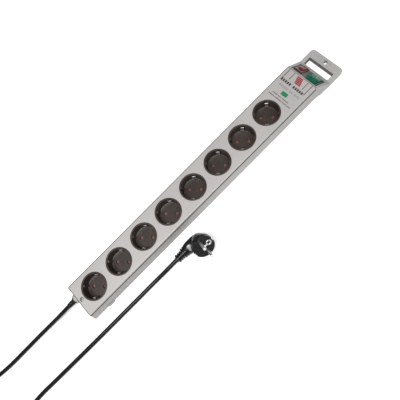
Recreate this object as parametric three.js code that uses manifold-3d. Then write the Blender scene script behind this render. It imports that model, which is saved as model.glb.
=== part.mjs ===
// Eight-way surge-protected power strip with earthed round sockets, an on/off rocker, a surge lamp,
// a carrying handle and a two-metre lead that is put away in a coil.
// Millimetres. +X runs from the lead end to the handle, +Y across the strip, +Z up.
// The origin is the middle of the strip's footprint, on the surface that its feet stand on.
import * as THREE from 'three';
import { mergeVertices } from 'three/addons/utils/BufferGeometryUtils.js';
import Module from 'manifold-3d';

// ---- driving dimensions ----
const GAP = 0.3;                    // clearance between pieces that touch
const HALF_LENGTH = 287.5;          // half of the strip's overall length
const TOP = 39;                     // height of the socket face
const HALF_WIDTH = 29.5;            // half width of the socket body
const WALL = 2.2;                   // housing wall
const BASE = 0.6;                   // housing underside, above the soles of the feet
const FLOOR = 2.4;                  // inside floor of the housing
const RIM = 33.6;                   // top of the housing's outer wall, below the shadow gap

const COVER_START = -273.5;         // front cover, lead end
const COVER_END = 222.2;            // front cover, handle end
const COVER_UNDER = 36.6;           // underside of the front cover
const COVER_ROUND = 2;              // radius of the cover's top edge

const SOCKETS = 8;
const PITCH = 54.75;
const FIRST_SOCKET = -239.6;
const COLLAR_R = 22;                // visible rim of a socket
const RECESS_R = 19.5;
const RECESS_FLOOR = 21.6;          // height of the surface that a plug's face meets
const CUP_R = 21.2;
const CUP_UNDER = 19.1;
const PIN_SPACING = 19;
const PIN_R = 2.4;
const PIN_HOLE_R = 2.6;
const SOCKET_TURN = -Math.PI / 4;   // the pin line lies at 45 degrees to the strip

const SLOPE_START = 222.5;          // where the control slope leaves the face
const SLOPE_END = 257;              // where it meets the handle
const HANDLE_TOP = 9;
const HANDLE_UNDER = 2.5;
const HANDLE_HALF_WIDTH = 32.2;
const WINDOW = { x0: 257.6, x1: 272, y: 25 };
const SLOPE_ANGLE = Math.atan2(TOP - HANDLE_TOP, SLOPE_END - SLOPE_START);

const SWITCH = { s: 22, y: -11.75, length: 31, width: 24.5, depth: 15 };
const LAMP = { s: 26.5, y: 16.1, length: 28, width: 15.4, depth: 11 };
const POCKET_DEPTH = 2.4;
const ROCKER_TILT = THREE.MathUtils.degToRad(9);

const CORD_D = 7.2;
const GLAND = { y: 13.9, z: 17, tip: -300 };
const COIL = { x: -540, y: -20, inner: 24.7, outer: 52.3, low: 1.3, top: 14.9 };
const PLUG = { x: -74, y: -60, z: 11.2, tilt: THREE.MathUtils.degToRad(48), faceFromCord: 24 };
const PLUG_NECK_Y = -58;          // the neck sits a little off the head's middle
const PLUG_NECK_END = -122;         // where the plug's strain relief lets the cord out

// ---- materials ----
function finish(color, roughness, metalness = 0) {
  return new THREE.MeshStandardMaterial({ color, roughness, metalness });
}
const silver = () => finish(0xb9b6b2, 0.5, 0.35);
const grey = () => finish(0x9c9b99, 0.6);
const black = () => finish(0x1c1c1d, 0.35);
const brown = () => finish(0x5c3a34, 0.5);
const brass = () => finish(0xb8924a, 0.35, 0.9);
const nickel = () => finish(0xc9c9c6, 0.25, 0.9);
const rubber = () => finish(0x202021, 0.75);

// ---- solids ----
const wasm = await Module();
wasm.setup();

function solid(geometry) {
  const bare = geometry.clone();
  bare.deleteAttribute('normal');
  bare.deleteAttribute('uv');
  const merged = mergeVertices(bare, 1e-4);
  return new wasm.Manifold(new wasm.Mesh({
    numProp: 3,
    vertProperties: new Float32Array(merged.attributes.position.array),
    triVerts: new Uint32Array(merged.index.array),
  }));
}

function join(first, ...others) {
  return others.reduce((sum, next) => sum.add(next), first);
}

function cut(first, ...others) {
  return others.reduce((rest, next) => rest.subtract(next), first);
}

function geometryOf(body) {
  const { vertProperties, triVerts, numProp } = body.getMesh();
  const positions = new Float32Array((vertProperties.length / numProp) * 3);
  for (let i = 0; i < positions.length / 3; i++) {
    for (let k = 0; k < 3; k++) positions[3 * i + k] = vertProperties[numProp * i + k];
  }
  const geometry = new THREE.BufferGeometry();
  geometry.setAttribute('position', new THREE.BufferAttribute(positions, 3));
  geometry.setIndex(Array.from(triVerts));
  geometry.computeVertexNormals();
  return geometry;
}

// ---- shapes ----
function boxGeometry([x0, x1], [y0, y1], [z0, z1]) {
  const geometry = new THREE.BoxGeometry(x1 - x0, y1 - y0, z1 - z0);
  return geometry.translate((x0 + x1) / 2, (y0 + y1) / 2, (z0 + z1) / 2);
}

const box = (xs, ys, zs) => solid(boxGeometry(xs, ys, zs));

function rodGeometry(x, y, radius, [z0, z1], sides = 16) {
  const geometry = new THREE.CylinderGeometry(radius, radius, z1 - z0, sides);
  return geometry.rotateX(Math.PI / 2).translate(x, y, (z0 + z1) / 2);
}

const rod = (x, y, radius, zs, sides) => solid(rodGeometry(x, y, radius, zs, sides));

function outline(points) {
  return new THREE.Shape(points.map(([a, b]) => new THREE.Vector2(a, b)));
}

// A prism standing on the XY plane.
function prismXY(shape, [z0, z1], curveSegments = 4) {
  const geometry = new THREE.ExtrudeGeometry(shape, { depth: z1 - z0, bevelEnabled: false, curveSegments });
  return geometry.translate(0, 0, z0);
}

// A prism whose outline is given as (x, z) and that runs along Y.
function prismXZ(points, [y0, y1]) {
  const options = { depth: y1 - y0, bevelEnabled: false };
  return new THREE.ExtrudeGeometry(outline(points), options).rotateX(Math.PI / 2).translate(0, y1, 0);
}

// A prism whose outline is given as (y, z) and that runs along X.
function prismYZ(points, [x0, x1]) {
  const turn = new THREE.Matrix4().set(0, 0, 1, x0, 1, 0, 0, 0, 0, 1, 0, 0, 0, 0, 0, 1);
  const options = { depth: x1 - x0, bevelEnabled: false };
  return new THREE.ExtrudeGeometry(outline(points), options).applyMatrix4(turn);
}

function roundedRectangle([x0, x1], [y0, y1], radius) {
  const shape = new THREE.Shape();
  shape.moveTo(x0 + radius, y0);
  shape.lineTo(x1 - radius, y0);
  shape.absarc(x1 - radius, y0 + radius, radius, -Math.PI / 2, 0);
  shape.lineTo(x1, y1 - radius);
  shape.absarc(x1 - radius, y1 - radius, radius, 0, Math.PI / 2);
  shape.lineTo(x0 + radius, y1);
  shape.absarc(x0 + radius, y1 - radius, radius, Math.PI / 2, Math.PI);
  shape.lineTo(x0, y0 + radius);
  shape.absarc(x0 + radius, y0 + radius, radius, Math.PI, 1.5 * Math.PI);
  return shape;
}

// A round tube along a smooth curve through the points.
function tubeGeometry(points, radius, sides, steps) {
  const section = new THREE.Shape();
  for (let i = 0; i < sides; i++) {
    const angle = (2 * Math.PI * i) / sides;
    const method = i === 0 ? 'moveTo' : 'lineTo';
    section[method](radius * Math.cos(angle), radius * Math.sin(angle));
  }
  section.closePath();
  const path = new THREE.CatmullRomCurve3(points.map((p) => new THREE.Vector3(...p)), false, 'centripetal');
  return new THREE.ExtrudeGeometry(section, { steps, extrudePath: path, bevelEnabled: false });
}

// ---- scene graph ----
const strip = new THREE.Group();

function add(name, shape, material, parent = strip) {
  const geometry = shape instanceof THREE.BufferGeometry ? shape : geometryOf(shape);
  const mesh = new THREE.Mesh(geometry, material);
  mesh.name = name;
  parent.add(mesh);
  return mesh;
}

const socketX = (i) => FIRST_SOCKET + i * PITCH;
const betweenSockets = (i) => socketX(i) + PITCH / 2;

// The control slope's own frame: X down the slope, Z out of it, origin on the face's edge.
const slope = new THREE.Group();
slope.position.set(SLOPE_START, 0, TOP);
slope.rotation.y = SLOPE_ANGLE;
strip.add(slope);
slope.updateMatrixWorld(true);
const onSlope = (geometry) => solid(geometry.applyMatrix4(slope.matrixWorld));

// ---- fasteners: where they sit ----
const FACE_SCREW = { x: -267.2, y: -1 };
const BASE_SCREW_Y = 20.6;
const BASE_SCREWS = [
  { x: betweenSockets(0), y: -BASE_SCREW_Y },
  { x: betweenSockets(0), y: BASE_SCREW_Y },
  { x: betweenSockets(6), y: -BASE_SCREW_Y },
  { x: betweenSockets(6), y: BASE_SCREW_Y },
];
const FEET = [[-236, -19], [-236, 19], [222, -19], [222, 19]];
const BOARD_POSTS = [[178, -13], [178, 13], [209, -13], [209, 13]];

// ---- lower housing: tray, slope and handle in one moulding ----
function housingBlock(inset, zs) {
  const lean = (HALF_LENGTH - 275.5) / (RIM - BASE);
  const shear = new THREE.Matrix4().set(1, 0, lean, -lean * BASE, 0, 1, 0, 0, 0, 0, 1, 0, 0, 0, 0, 1);
  const half = HALF_WIDTH - inset;
  const flare = HANDLE_HALF_WIDTH - inset;
  const plan = outline([
    [-320, -half], [SLOPE_START, -half], [SLOPE_END, -flare], [HALF_LENGTH - 5, -flare],
    [HALF_LENGTH - 1.5, -flare + 1.5], [HALF_LENGTH, -flare + 5], [HALF_LENGTH, flare - 5],
    [HALF_LENGTH - 1.5, flare - 1.5], [HALF_LENGTH - 5, flare], [SLOPE_END, flare],
    [SLOPE_START, half], [-320, half],
  ]);
  const straight = solid(prismXY(plan, [zs[0] - 1, zs[1] + 1]));
  const leadEnd = roundedRectangle([-HALF_LENGTH + inset, 320], [-half, half], 4 - inset / 2);
  const leaning = solid(prismXY(leadEnd, zs, 3).applyMatrix4(shear));
  const beyond = box([SLOPE_START, 320], [-40, 40], [zs[0] - 1, zs[1] + 1]);
  return straight.intersect(join(leaning, beyond));
}

function lowerHousing() {
  const side = solid(prismXZ([
    [-HALF_LENGTH - 5, BASE], [SLOPE_END, BASE], [SLOPE_END + 2, HANDLE_UNDER], [HALF_LENGTH, HANDLE_UNDER],
    [HALF_LENGTH, HANDLE_TOP], [SLOPE_END, HANDLE_TOP], [COVER_END + 0.4, TOP - 0.1],
    [COVER_END + 0.4, RIM], [-HALF_LENGTH - 5, RIM],
  ], [-40, 40]));
  const outer = side.intersect(housingBlock(0, [BASE, TOP]));
  const inside = solid(prismXZ([
    [-HALF_LENGTH - 5, FLOOR], [247, FLOOR], [247, 10.5], [224.6, 30.4], [COVER_END + 0.4, 30.4],
    [COVER_END + 0.4, TOP + 2], [-HALF_LENGTH - 5, TOP + 2],
  ], [-40, 40])).intersect(housingBlock(WALL, [FLOOR, TOP + 2]));
  const tray = cut(outer, inside);

  const lapTop = COVER_UNDER - GAP;
  const laps = [-1, 1].map((side_) => box(
    [-271.2, COVER_END - 1], [side_ * 26, side_ * 27.7].sort((a, b) => a - b), [RIM - 4, lapTop]));
  const endLap = box([-272.6, -271.2], [-27.7, 27.7], [RIM - 2, lapTop]);
  const endLedge = box([-275, -271.2], [-28, 28], [RIM - 2, RIM]);
  const ribs = Array.from({ length: SOCKETS - 1 }, (_, i) => crossRib(betweenSockets(i)));
  ribs.push(crossRib(socketX(SOCKETS - 1) + PITCH / 2));
  const lugs = [[-248.6, 12], [240, 12]].map(([x, length]) => box(
    [x - length / 2, x + length / 2], [-HALF_WIDTH - 1.8, HALF_WIDTH + 1.8], [BASE, BASE + 3.4]));
  const lugCores = lugs.map((lug) => cut(lug, box([-300, 300], [-HALF_WIDTH + 1, HALF_WIDTH - 1], [0, 9])));
  const glandBoss = solid(new THREE.CylinderGeometry(8.4, 8.4, 8.2, 24)
    .rotateZ(Math.PI / 2).translate(-280, GLAND.y, GLAND.z));
  const facePost = rod(FACE_SCREW.x, FACE_SCREW.y, 3.7, [FLOOR - 0.5, 29.7]);
  const screwSleeves = BASE_SCREWS.map(({ x, y }) => rod(x, y, 3.9, [FLOOR - 0.5, 7.6], 12));
  const boardPosts = BOARD_POSTS.map(([x, y]) => rod(x, y, 2.2, [FLOOR - 0.5, 18.2], 8));

  const full = join(tray, ...laps, endLap, endLedge, ...ribs, ...lugCores, glandBoss, facePost,
    ...screwSleeves, ...boardPosts);

  const glandBore = solid(new THREE.CylinderGeometry(5.9, 5.9, 20, 24)
    .rotateZ(Math.PI / 2).translate(-280, GLAND.y, GLAND.z));
  const cuts = [
    glandBore,
    box([WINDOW.x0, WINDOW.x1], [-WINDOW.y, WINDOW.y], [-5, 20]),
    rod(280.6, -1, 3.5, [-5, 20], 16),
    box([276.4, 280.6], [-3, 1], [-5, 20]),
    rod(FACE_SCREW.x, FACE_SCREW.y, 1.7, [14, 30], 12),
    ...BASE_SCREWS.map(({ x, y }) => rod(x, y, 3.3, [-1, 4.6], 12)),
    ...BASE_SCREWS.map(({ x, y }) => rod(x, y, 1.7, [4, 9], 8)),
    ...FEET.map(([x, y]) => rod(x, y, 6.3, [-1, 1.6])),
    onSlope(boxGeometry([4.5, 42.5], [-26, 26], [-POCKET_DEPTH, 12])),
    onSlope(boxGeometry(
      [SWITCH.s - 14.6, SWITCH.s + 14.6], [SWITCH.y - 11, SWITCH.y + 11], [-12, 2])),
    onSlope(boxGeometry([LAMP.s - 11.3, LAMP.s + 11.3], [LAMP.y - 6.6, LAMP.y + 6.6], [-12, 2])),
  ];
  return cut(full, ...cuts);
}

// A rib across the tray, between two sockets: it carries the busbars and the sockets' flanges.
function crossRib(x) {
  const flangeSeat = 33.1;
  return solid(prismYZ([
    [-14.5, FLOOR - 0.5], [14.5, FLOOR - 0.5], [14.5, flangeSeat], [10.6, flangeSeat], [10.6, 10.6],
    [2.4, 10.6], [2.4, 13.9], [-2.4, 13.9], [-2.4, 10.6], [-10.6, 10.6], [-10.6, flangeSeat],
    [-14.5, flangeSeat],
  ], [x - 1.5, x + 1.5]));
}

add('lower_housing', lowerHousing(), grey());

FEET.forEach(([x, y], i) => {
  add(`foot_${i + 1}`, rodGeometry(x, y, 6, [0, 1.3]), rubber());
});

// ---- front cover ----
function frontCover() {
  const inset = COVER_ROUND;
  const shape = roundedRectangle(
    [COVER_START + inset, COVER_END + 12], [-HALF_WIDTH + inset, HALF_WIDTH - inset], 2);
  const rounded = new THREE.ExtrudeGeometry(shape, {
    depth: 10, bevelEnabled: true, bevelThickness: inset, bevelSize: inset, bevelSegments: 2, curveSegments: 3,
  }).translate(0, 0, TOP - inset - 10);
  const plate = solid(rounded).intersect(box([COVER_START - 5, COVER_END], [-40, 40], [COVER_UNDER, TOP + 1]));
  const bosses = [
    rod(FACE_SCREW.x, FACE_SCREW.y, 3.8, [30, TOP - 1]),
    ...BASE_SCREWS.map(({ x, y }) => rod(x, y, 3.2, [8, TOP - 1], 10)),
  ];
  const holes = Array.from({ length: SOCKETS }, (_, i) => (
    rod(socketX(i), 0, COLLAR_R + GAP, [COVER_UNDER - 1, TOP + 1], 24)));
  const pilots = BASE_SCREWS.map(({ x, y }) => rod(x, y, 1.7, [7, 20], 8));
  const screwSeat = rod(FACE_SCREW.x, FACE_SCREW.y, 3.5, [TOP - 1.8, TOP + 1], 20);
  const screwHole = rod(FACE_SCREW.x, FACE_SCREW.y, 1.7, [28, TOP + 1], 12);
  return cut(join(plate, ...bosses), ...holes, ...pilots, screwSeat, screwHole);
}

add('front_cover', frontCover(), silver());

function screw(x, y, headRadius, [headLow, headHigh], [shankLow, shankHigh]) {
  const head = rod(x, y, headRadius, [headLow, headHigh], 12);
  const shank = rod(x, y, 1.4, [shankLow, shankHigh], 8);
  return join(head, shank);
}

add('face_screw', screw(FACE_SCREW.x, FACE_SCREW.y, 3.1, [TOP - 1.5, TOP - 0.3], [18, TOP - 1]), nickel());
BASE_SCREWS.forEach(({ x, y }, i) => {
  add(`base_screw_${i + 1}`, screw(x, y, 3, [2.9, 4.3], [4, 17]), nickel());
});

// ---- sockets: each is built at its own centre with its pins along X, then turned ----
function socketInsert(flangeStart) {
  const collar = rod(0, 0, COLLAR_R, [33.4, TOP], 24);
  const cup = rod(0, 0, CUP_R, [CUP_UNDER, 34], 20);
  const flangeTop = COVER_UNDER - GAP;
  const flange = solid(prismXY(outline([
    [flangeStart, -15.3], [flangeStart + 9, -24.3], [18.1, -24.3], [27.1, -15.3],
    [27.1, 15.3], [18.1, 24.3], [flangeStart + 9, 24.3], [flangeStart, 15.3],
  ]), [33.4, flangeTop]).rotateZ(-SOCKET_TURN));
  const recess = rod(0, 0, RECESS_R, [RECESS_FLOOR, TOP + 1], 20);
  const shell = cut(join(collar, cup, flange), recess);
  const keys = [-1, 1].map((end) => box(
    [Math.min(end * 17.7, end * 20.3), Math.max(end * 17.7, end * 20.3)], [-2.2, 2.2],
    [RECESS_FLOOR - 1, TOP - 2.5]));
  const pivot = rod(0, 0, 2, [17, CUP_UNDER + 1], 8);
  const holes = [-1, 1].map((end) => rod((end * PIN_SPACING) / 2, 0, PIN_HOLE_R, [10, 30], 10));
  const slots = [-1, 1].map((end) => box(
    [-3.4, 3.4], [Math.min(end * 17.7, end * 19.1), Math.max(end * 17.7, end * 19.1)], [10, RECESS_FLOOR + 1]));
  return cut(join(shell, ...keys, pivot), ...holes, ...slots);
}

// A rotor under the recess floor: its two wings cover the pin holes until both pins push it round.
function shutter() {
  const hub = rod(0, 0, 4, [17.6, 18.8], 8);
  const wings = [-1, 1].map((end) => rod((end * PIN_SPACING) / 2, 0, 3, [17.6, 18.8], 8));
  const arm = box([-PIN_SPACING / 2, PIN_SPACING / 2], [-1.8, 1.8], [17.6, 18.8]);
  return cut(join(hub, ...wings, arm), rod(0, 0, 2 + GAP + 0.1, [10, 25], 8));
}

// A bent strap: it passes under the recess and comes up through the floor at both sides.
function earthClip() {
  const outer = [[17.3, 34], [16.2, 30], [17.95, 25], [17.95, 16.2]];
  const inner = outer.map(([r, z]) => [r + 0.8, z]);
  inner[3] = [18.75, 15.4];
  const right = [...inner].reverse();
  const profile = [
    ...right, ...outer, ...[...outer].reverse().map(([r, z]) => [-r, z]),
    ...inner.map(([r, z]) => [-r, z]),
  ];
  return prismYZ(profile, [-3, 3]);
}

for (let i = 0; i < SOCKETS; i++) {
  const socket = new THREE.Group();
  socket.position.set(socketX(i), 0, 0);
  socket.rotation.z = SOCKET_TURN;
  strip.add(socket);
  const flangeStart = i === 0 ? -23.3 : -27.1;
  add(`socket_insert_${i + 1}`, socketInsert(flangeStart), black(), socket);
  add(`shutter_${i + 1}`, shutter(), brown(), socket);
  add(`earth_clip_${i + 1}`, earthClip(), nickel(), socket);
}

// ---- busbars ----
const PIN_OFFSET = (PIN_SPACING / 2) * Math.SQRT1_2;

// A flat strip with a hole and two upright contact leaves under each pin.
function pinBusbar(side_) {
  const y = side_ * PIN_OFFSET;
  const level = [11, 11.8];
  const bar = box([-262, 214], [y - 3.4, y + 3.4], level);
  const holes = [];
  const leaves = [];
  for (let i = 0; i < SOCKETS; i++) {
    const x = socketX(i) - side_ * PIN_OFFSET;
    holes.push(rod(x, y, PIN_HOLE_R, [8, 14], 8));
    leaves.push(box([x - 3.7, x - 3], [y - 2, y + 2], [11.4, 16.2]));
    leaves.push(box([x + 3, x + 3.7], [y - 2, y + 2], [11.4, 16.2]));
  }
  return join(cut(bar, ...holes), ...leaves);
}

add('live_busbar', pinBusbar(-1), brass());
add('neutral_busbar', pinBusbar(1), brass());
add('earth_busbar', boxGeometry([-256, 200], [-2.4, 2.4], [14.2, 15.1]), brass());

// ---- surge protection board ----
add('surge_board', boxGeometry([175, 212], [-23.5, 23.5], [18.5, 20.1]), finish(0x2f6b3a, 0.5));
[-15, 0, 15].forEach((y, i) => {
  const disc = new THREE.CylinderGeometry(7, 7, 4.6, 16).rotateZ(Math.PI / 2).translate(185 + 3 * i, y, 27.5);
  add(`varistor_${i + 1}`, disc, finish(0x2b4f9a, 0.4));
});
add('thermal_fuse', new THREE.CylinderGeometry(2, 2, 11, 12).rotateZ(Math.PI / 2).translate(203, 8, 22.5), nickel());

// ---- rocker switch on the slope ----
const PIVOT_DEPTH = -3.5;

function switchBody() {
  const { s, y, length, width, depth } = SWITCH;
  const bezel = box([s - length / 2, s + length / 2], [y - width / 2, y + width / 2], [GAP - POCKET_DEPTH, -0.4]);
  const can = box([s - 14.3, s + 14.3], [y - 10.7, y + 10.7], [-depth, -1]);
  const well = box([s - 12.8, s + 12.8], [y - 9.3, y + 9.3], [-10, 2]);
  const bearing = solid(new THREE.CylinderGeometry(1.5, 1.5, 20.6, 12).translate(s, y, PIVOT_DEPTH));
  return cut(join(bezel, can), well, bearing);
}

// The rocker's own origin is its pivot.
function rocker() {
  const rise = -PIVOT_DEPTH;
  const half = [[12, 3.4 + rise], [11.4, 0.9 + rise], [12.2, rise - 1.5], [12, rise - 5], [3, rise - 6.5]];
  const profile = [[0, 0.8 + rise], ...half, ...[...half].reverse().map(([a, b]) => [-a, b])];
  const paddle = solid(prismXZ(profile.reverse(), [-9, 9]));
  const axle = solid(new THREE.CylinderGeometry(1.2, 1.2, 20, 12));
  return join(paddle, axle);
}

add('switch_body', switchBody(), black(), slope);
const rockerGroup = new THREE.Group();
rockerGroup.position.set(SWITCH.s, SWITCH.y, PIVOT_DEPTH);
rockerGroup.rotation.y = ROCKER_TILT;
slope.add(rockerGroup);
add('rocker', rocker(), finish(0x1c6b47, 0.3), rockerGroup);

// ---- surge lamp on the slope ----
function lampBody() {
  const { s, y, length, width, depth } = LAMP;
  const bezel = box([s - length / 2, s + length / 2], [y - width / 2, y + width / 2], [GAP - POCKET_DEPTH, -0.2]);
  const can = box([s - 11, s + 11], [y - 6.3, y + 6.3], [-depth, -1]);
  const well = box([s - 5, s + 9.6], [y - 4.9, y + 4.9], [-6, 2]);
  return cut(join(bezel, can), well);
}

function lampLens() {
  const { s, y } = LAMP;
  const foot = [[s - 4.7, s + 9.3], [y - 4.6, y + 4.6]];
  const block = box(foot[0], foot[1], [-5.7, 0.9]);
  const crown = box([foot[0][0] + 1.2, foot[0][1] - 1.2], [foot[1][0] + 1.2, foot[1][1] - 1.2], [0, 1.9]);
  return join(block, crown);
}

add('lamp_body', lampBody(), black(), slope);
add('lamp_lens', lampLens(), finish(0xa82c28, 0.2), slope);

// ---- lead entry ----
function turned(profile, sides = 20) {
  const points = profile.map(([r, z]) => new THREE.Vector2(r, z));
  return new THREE.LatheGeometry(points, sides);
}

// Tapered strain relief with its neck in the housing's bore and the cord's jacket behind it.
function gland() {
  const jacketEnd = -264;
  const profile = [
    [0, GLAND.tip], [4.2, GLAND.tip], [5.4, -287.5], [6.6, -286.6], [6.6, -284.5], [5.6, -284.5],
    [5.6, -276.5], [CORD_D / 2, -276.5], [CORD_D / 2, jacketEnd], [0, jacketEnd],
  ];
  const alongX = new THREE.Matrix4().set(0, 1, 0, 0, 0, 0, 1, GLAND.y, 1, 0, 0, GLAND.z, 0, 0, 0, 1);
  return turned(profile).applyMatrix4(alongX);
}

add('cord_gland', gland(), rubber());
const clampBlock = box([-274.4, -267.4], [4.6, 23.2], [FLOOR + GAP, 23.4]);
const clampBore = solid(new THREE.CylinderGeometry(3.95, 3.95, 20, 20)
  .rotateZ(Math.PI / 2).translate(-271, GLAND.y, GLAND.z));
add('cord_clamp', cut(clampBlock, clampBore), finish(0xd8d4c8, 0.6));

const LEAD_Y = 25.85;
const leads = {
  live_lead: {
    points: [[-263, 14.6, 15], [-252, 19, 11], [-240, 24, 7.4], [-230, LEAD_Y, 6.9], [-215, LEAD_Y, 6.9],
      [-180, LEAD_Y, 6.9], [0, LEAD_Y, 6.9], [150, LEAD_Y, 6.9], [176, LEAD_Y, 6.9], [188, 25.7, 6.9],
      [202, 23.4, 7], [213.5, 17, 7.4], [219, 6, 9], [221.5, -3, 12], [223.2, -6.5, 16]],
    color: 0x6b4226,
  },
  neutral_lead: {
    points: [[-263, 11.6, 14.6], [-255, 15, 8.6], [-244, 21, 4.6], [-232, LEAD_Y, 3.9], [-217, LEAD_Y, 3.9],
      [-180, LEAD_Y, 3.9], [0, LEAD_Y, 3.9], [150, LEAD_Y, 3.9], [180, LEAD_Y, 3.9], [192, 25.7, 3.9],
      [206, 23, 3.9], [217, 14, 4], [222, 0, 4.6], [224, -10, 7.5], [223.6, -15.6, 15.6]],
    color: 0x2b5fa8,
  },
};
for (const [name, { points, color }] of Object.entries(leads)) {
  add(name, tubeGeometry(points, 1.25, 6, 30), finish(color, 0.5));
}

// ---- the free cord: down from the gland, away to the coil, back to the plug ----
const stripRun = [
  [GLAND.tip - GAP, 13.9, 17], [-308, 14, 16.4], [-322, 14.9, 13], [-338, 16.6, 8], [-356, 18, 4.6],
  [-376, 18.4, 3.7], [-410, 18.2, 3.7], [-445, 18.3, 3.7], [-470, 20.2, 3.7], [-492, 24, 3.7],
  [-510.4, 26.9, 3.7],
];
const plugRun = [
  [-510.4, -67.4, 9.4], [-495, -65.4, 7.4], [-476, -61.4, 5], [-455, -57.2, 3.9], [-432, -54.6, 3.7],
  [-390, -55, 3.7], [-340, -55.7, 3.7], [-290, -56.1, 3.7], [-240, -56.2, 3.7], [-205, -56.3, 3.8],
  [-184, -56.3, 4.1], [-166, -56.8, 5.6], [-150, -57.5, 8], [-136, -57.9, 10.2],
  [PLUG_NECK_END - GAP, PLUG_NECK_Y, PLUG.z],
];
add('cord_strip_run', tubeGeometry(stripRun, CORD_D / 2, 8, 14), rubber());
add('cord_plug_run', tubeGeometry(plugRun, CORD_D / 2, 8, 24), rubber());

const ring = [
  [COIL.inner, COIL.low], [COIL.outer, COIL.low], [COIL.outer, COIL.top], [COIL.inner, COIL.top],
  [COIL.inner, COIL.low],
];
add('cord_coil', turned(ring).rotateX(Math.PI / 2).translate(COIL.x, COIL.y, 0), rubber());

// A strap once round the bundle, on the side away from the strip.
function cordTie() {
  const thickness = 1;
  const near = -COIL.outer - GAP;
  const far = -COIL.inner + 1.3;
  const low = COIL.low - GAP - thickness;
  const high = COIL.top + GAP + thickness;
  const loop = box([near - thickness, far + thickness], [-6, 6], [low, high]);
  const hollow = box([near, far], [-7, 7], [COIL.low - GAP, COIL.top + GAP]);
  return geometryOf(cut(loop, hollow)).translate(COIL.x, COIL.y, 0);
}
add('cord_tie', cordTie(), finish(0x303134, 0.8));

// ---- plug: its own frame has Z out of the face, X along the pin line, Y away from the cord ----
// The frame's origin is where the cord's axis crosses the head's axis.
const plug = new THREE.Group();
plug.position.set(PLUG.x, PLUG.y, PLUG.z);
const plugZ = new THREE.Vector3(0, -Math.sin(PLUG.tilt), Math.cos(PLUG.tilt));
const plugY = new THREE.Vector3(1, 0, 0);
const plugX = new THREE.Vector3().crossVectors(plugY, plugZ);
plug.quaternion.setFromRotationMatrix(new THREE.Matrix4().makeBasis(plugX, plugY, plugZ));
strip.add(plug);

const FACE_R = 18.4;
const STRAP_HALF = 3;

function plugBody() {
  const face = PLUG.faceFromCord;
  const aside = PLUG_NECK_Y - PLUG.y;
  const head = solid(turned([
    [0, -9.5], [6, -9], [10.8, -4], [13, 1], [15, 8], [16.2, 12.5], [FACE_R, 14.5], [FACE_R, face], [0, face],
  ]).rotateX(Math.PI / 2));
  const neck = solid(turned([
    [0, 0], [9.6, 0], [9.6, 18], [8.3, 26.2], [8.2, 32.4], [6.5, 33.4], [6.5, 45.2], [4.4, 45.4], [4.4, 48], [0, 48],
  ]).rotateX(Math.PI).translate(-aside * Math.cos(PLUG.tilt), 0, -aside * Math.sin(PLUG.tilt)));
  const flats = [-1, 1].map((end) => box(
    [-STRAP_HALF - GAP, STRAP_HALF + GAP],
    [Math.min(end * 16.6, end * 20), Math.max(end * 16.6, end * 20)], [14, face + 1]));
  const keyways = [-1, 1].map((end) => box(
    [Math.min(end * 16.4, end * 20), Math.max(end * 16.4, end * 20)], [-2.7, 2.7], [14, face + 1]));
  const pinHoles = [-1, 1].map((end) => rod((end * PIN_SPACING) / 2, 0, PIN_R + GAP, [face - 5, face + 1], 16));
  const earthHole = rod(0, 10, 2.6, [face - 16, face + 1], 16);
  return cut(join(head, neck), ...flats, ...keyways, ...pinHoles, earthHole);
}

function plugPin() {
  const face = PLUG.faceFromCord;
  return turned([
    [0, face - 4.7], [PIN_R, face - 4.7], [PIN_R, face + 17.5], [1.4, face + 19], [0, face + 19],
  ]).rotateX(Math.PI / 2);
}

// One earth contact on each side of the head, in the flat between the keyways.
function plugEarthStrip(end) {
  const face = PLUG.faceFromCord;
  const inner = end * (16.6 + GAP);
  const outer = end * (17.7 + GAP);
  return box([-STRAP_HALF, STRAP_HALF], [Math.min(inner, outer), Math.max(inner, outer)], [14 + GAP, face - 0.5]);
}

add('plug_body', plugBody(), black(), plug);
add('plug_pin_1', plugPin().translate(-PIN_SPACING / 2, 0, 0), nickel(), plug);
add('plug_pin_2', plugPin().translate(PIN_SPACING / 2, 0, 0), nickel(), plug);
add('plug_earth_front', plugEarthStrip(1), nickel(), plug);
add('plug_earth_rear', plugEarthStrip(-1), nickel(), plug);

export default strip;
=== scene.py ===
import math

import bmesh
import bpy
from mathutils import Matrix, Vector
from mathutils.geometry import tessellate_polygon


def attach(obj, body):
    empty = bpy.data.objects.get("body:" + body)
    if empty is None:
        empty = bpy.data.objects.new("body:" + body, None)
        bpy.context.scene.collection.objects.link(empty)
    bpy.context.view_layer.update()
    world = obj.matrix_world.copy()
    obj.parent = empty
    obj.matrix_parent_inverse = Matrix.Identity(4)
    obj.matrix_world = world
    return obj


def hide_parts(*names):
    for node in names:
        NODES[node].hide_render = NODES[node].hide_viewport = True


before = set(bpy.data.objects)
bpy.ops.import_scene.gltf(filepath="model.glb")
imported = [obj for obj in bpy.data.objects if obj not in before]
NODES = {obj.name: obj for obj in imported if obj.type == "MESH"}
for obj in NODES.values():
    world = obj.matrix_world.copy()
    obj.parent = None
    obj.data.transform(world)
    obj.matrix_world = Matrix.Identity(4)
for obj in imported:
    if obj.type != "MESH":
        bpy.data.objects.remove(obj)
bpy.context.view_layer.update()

MM = 0.001

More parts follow.
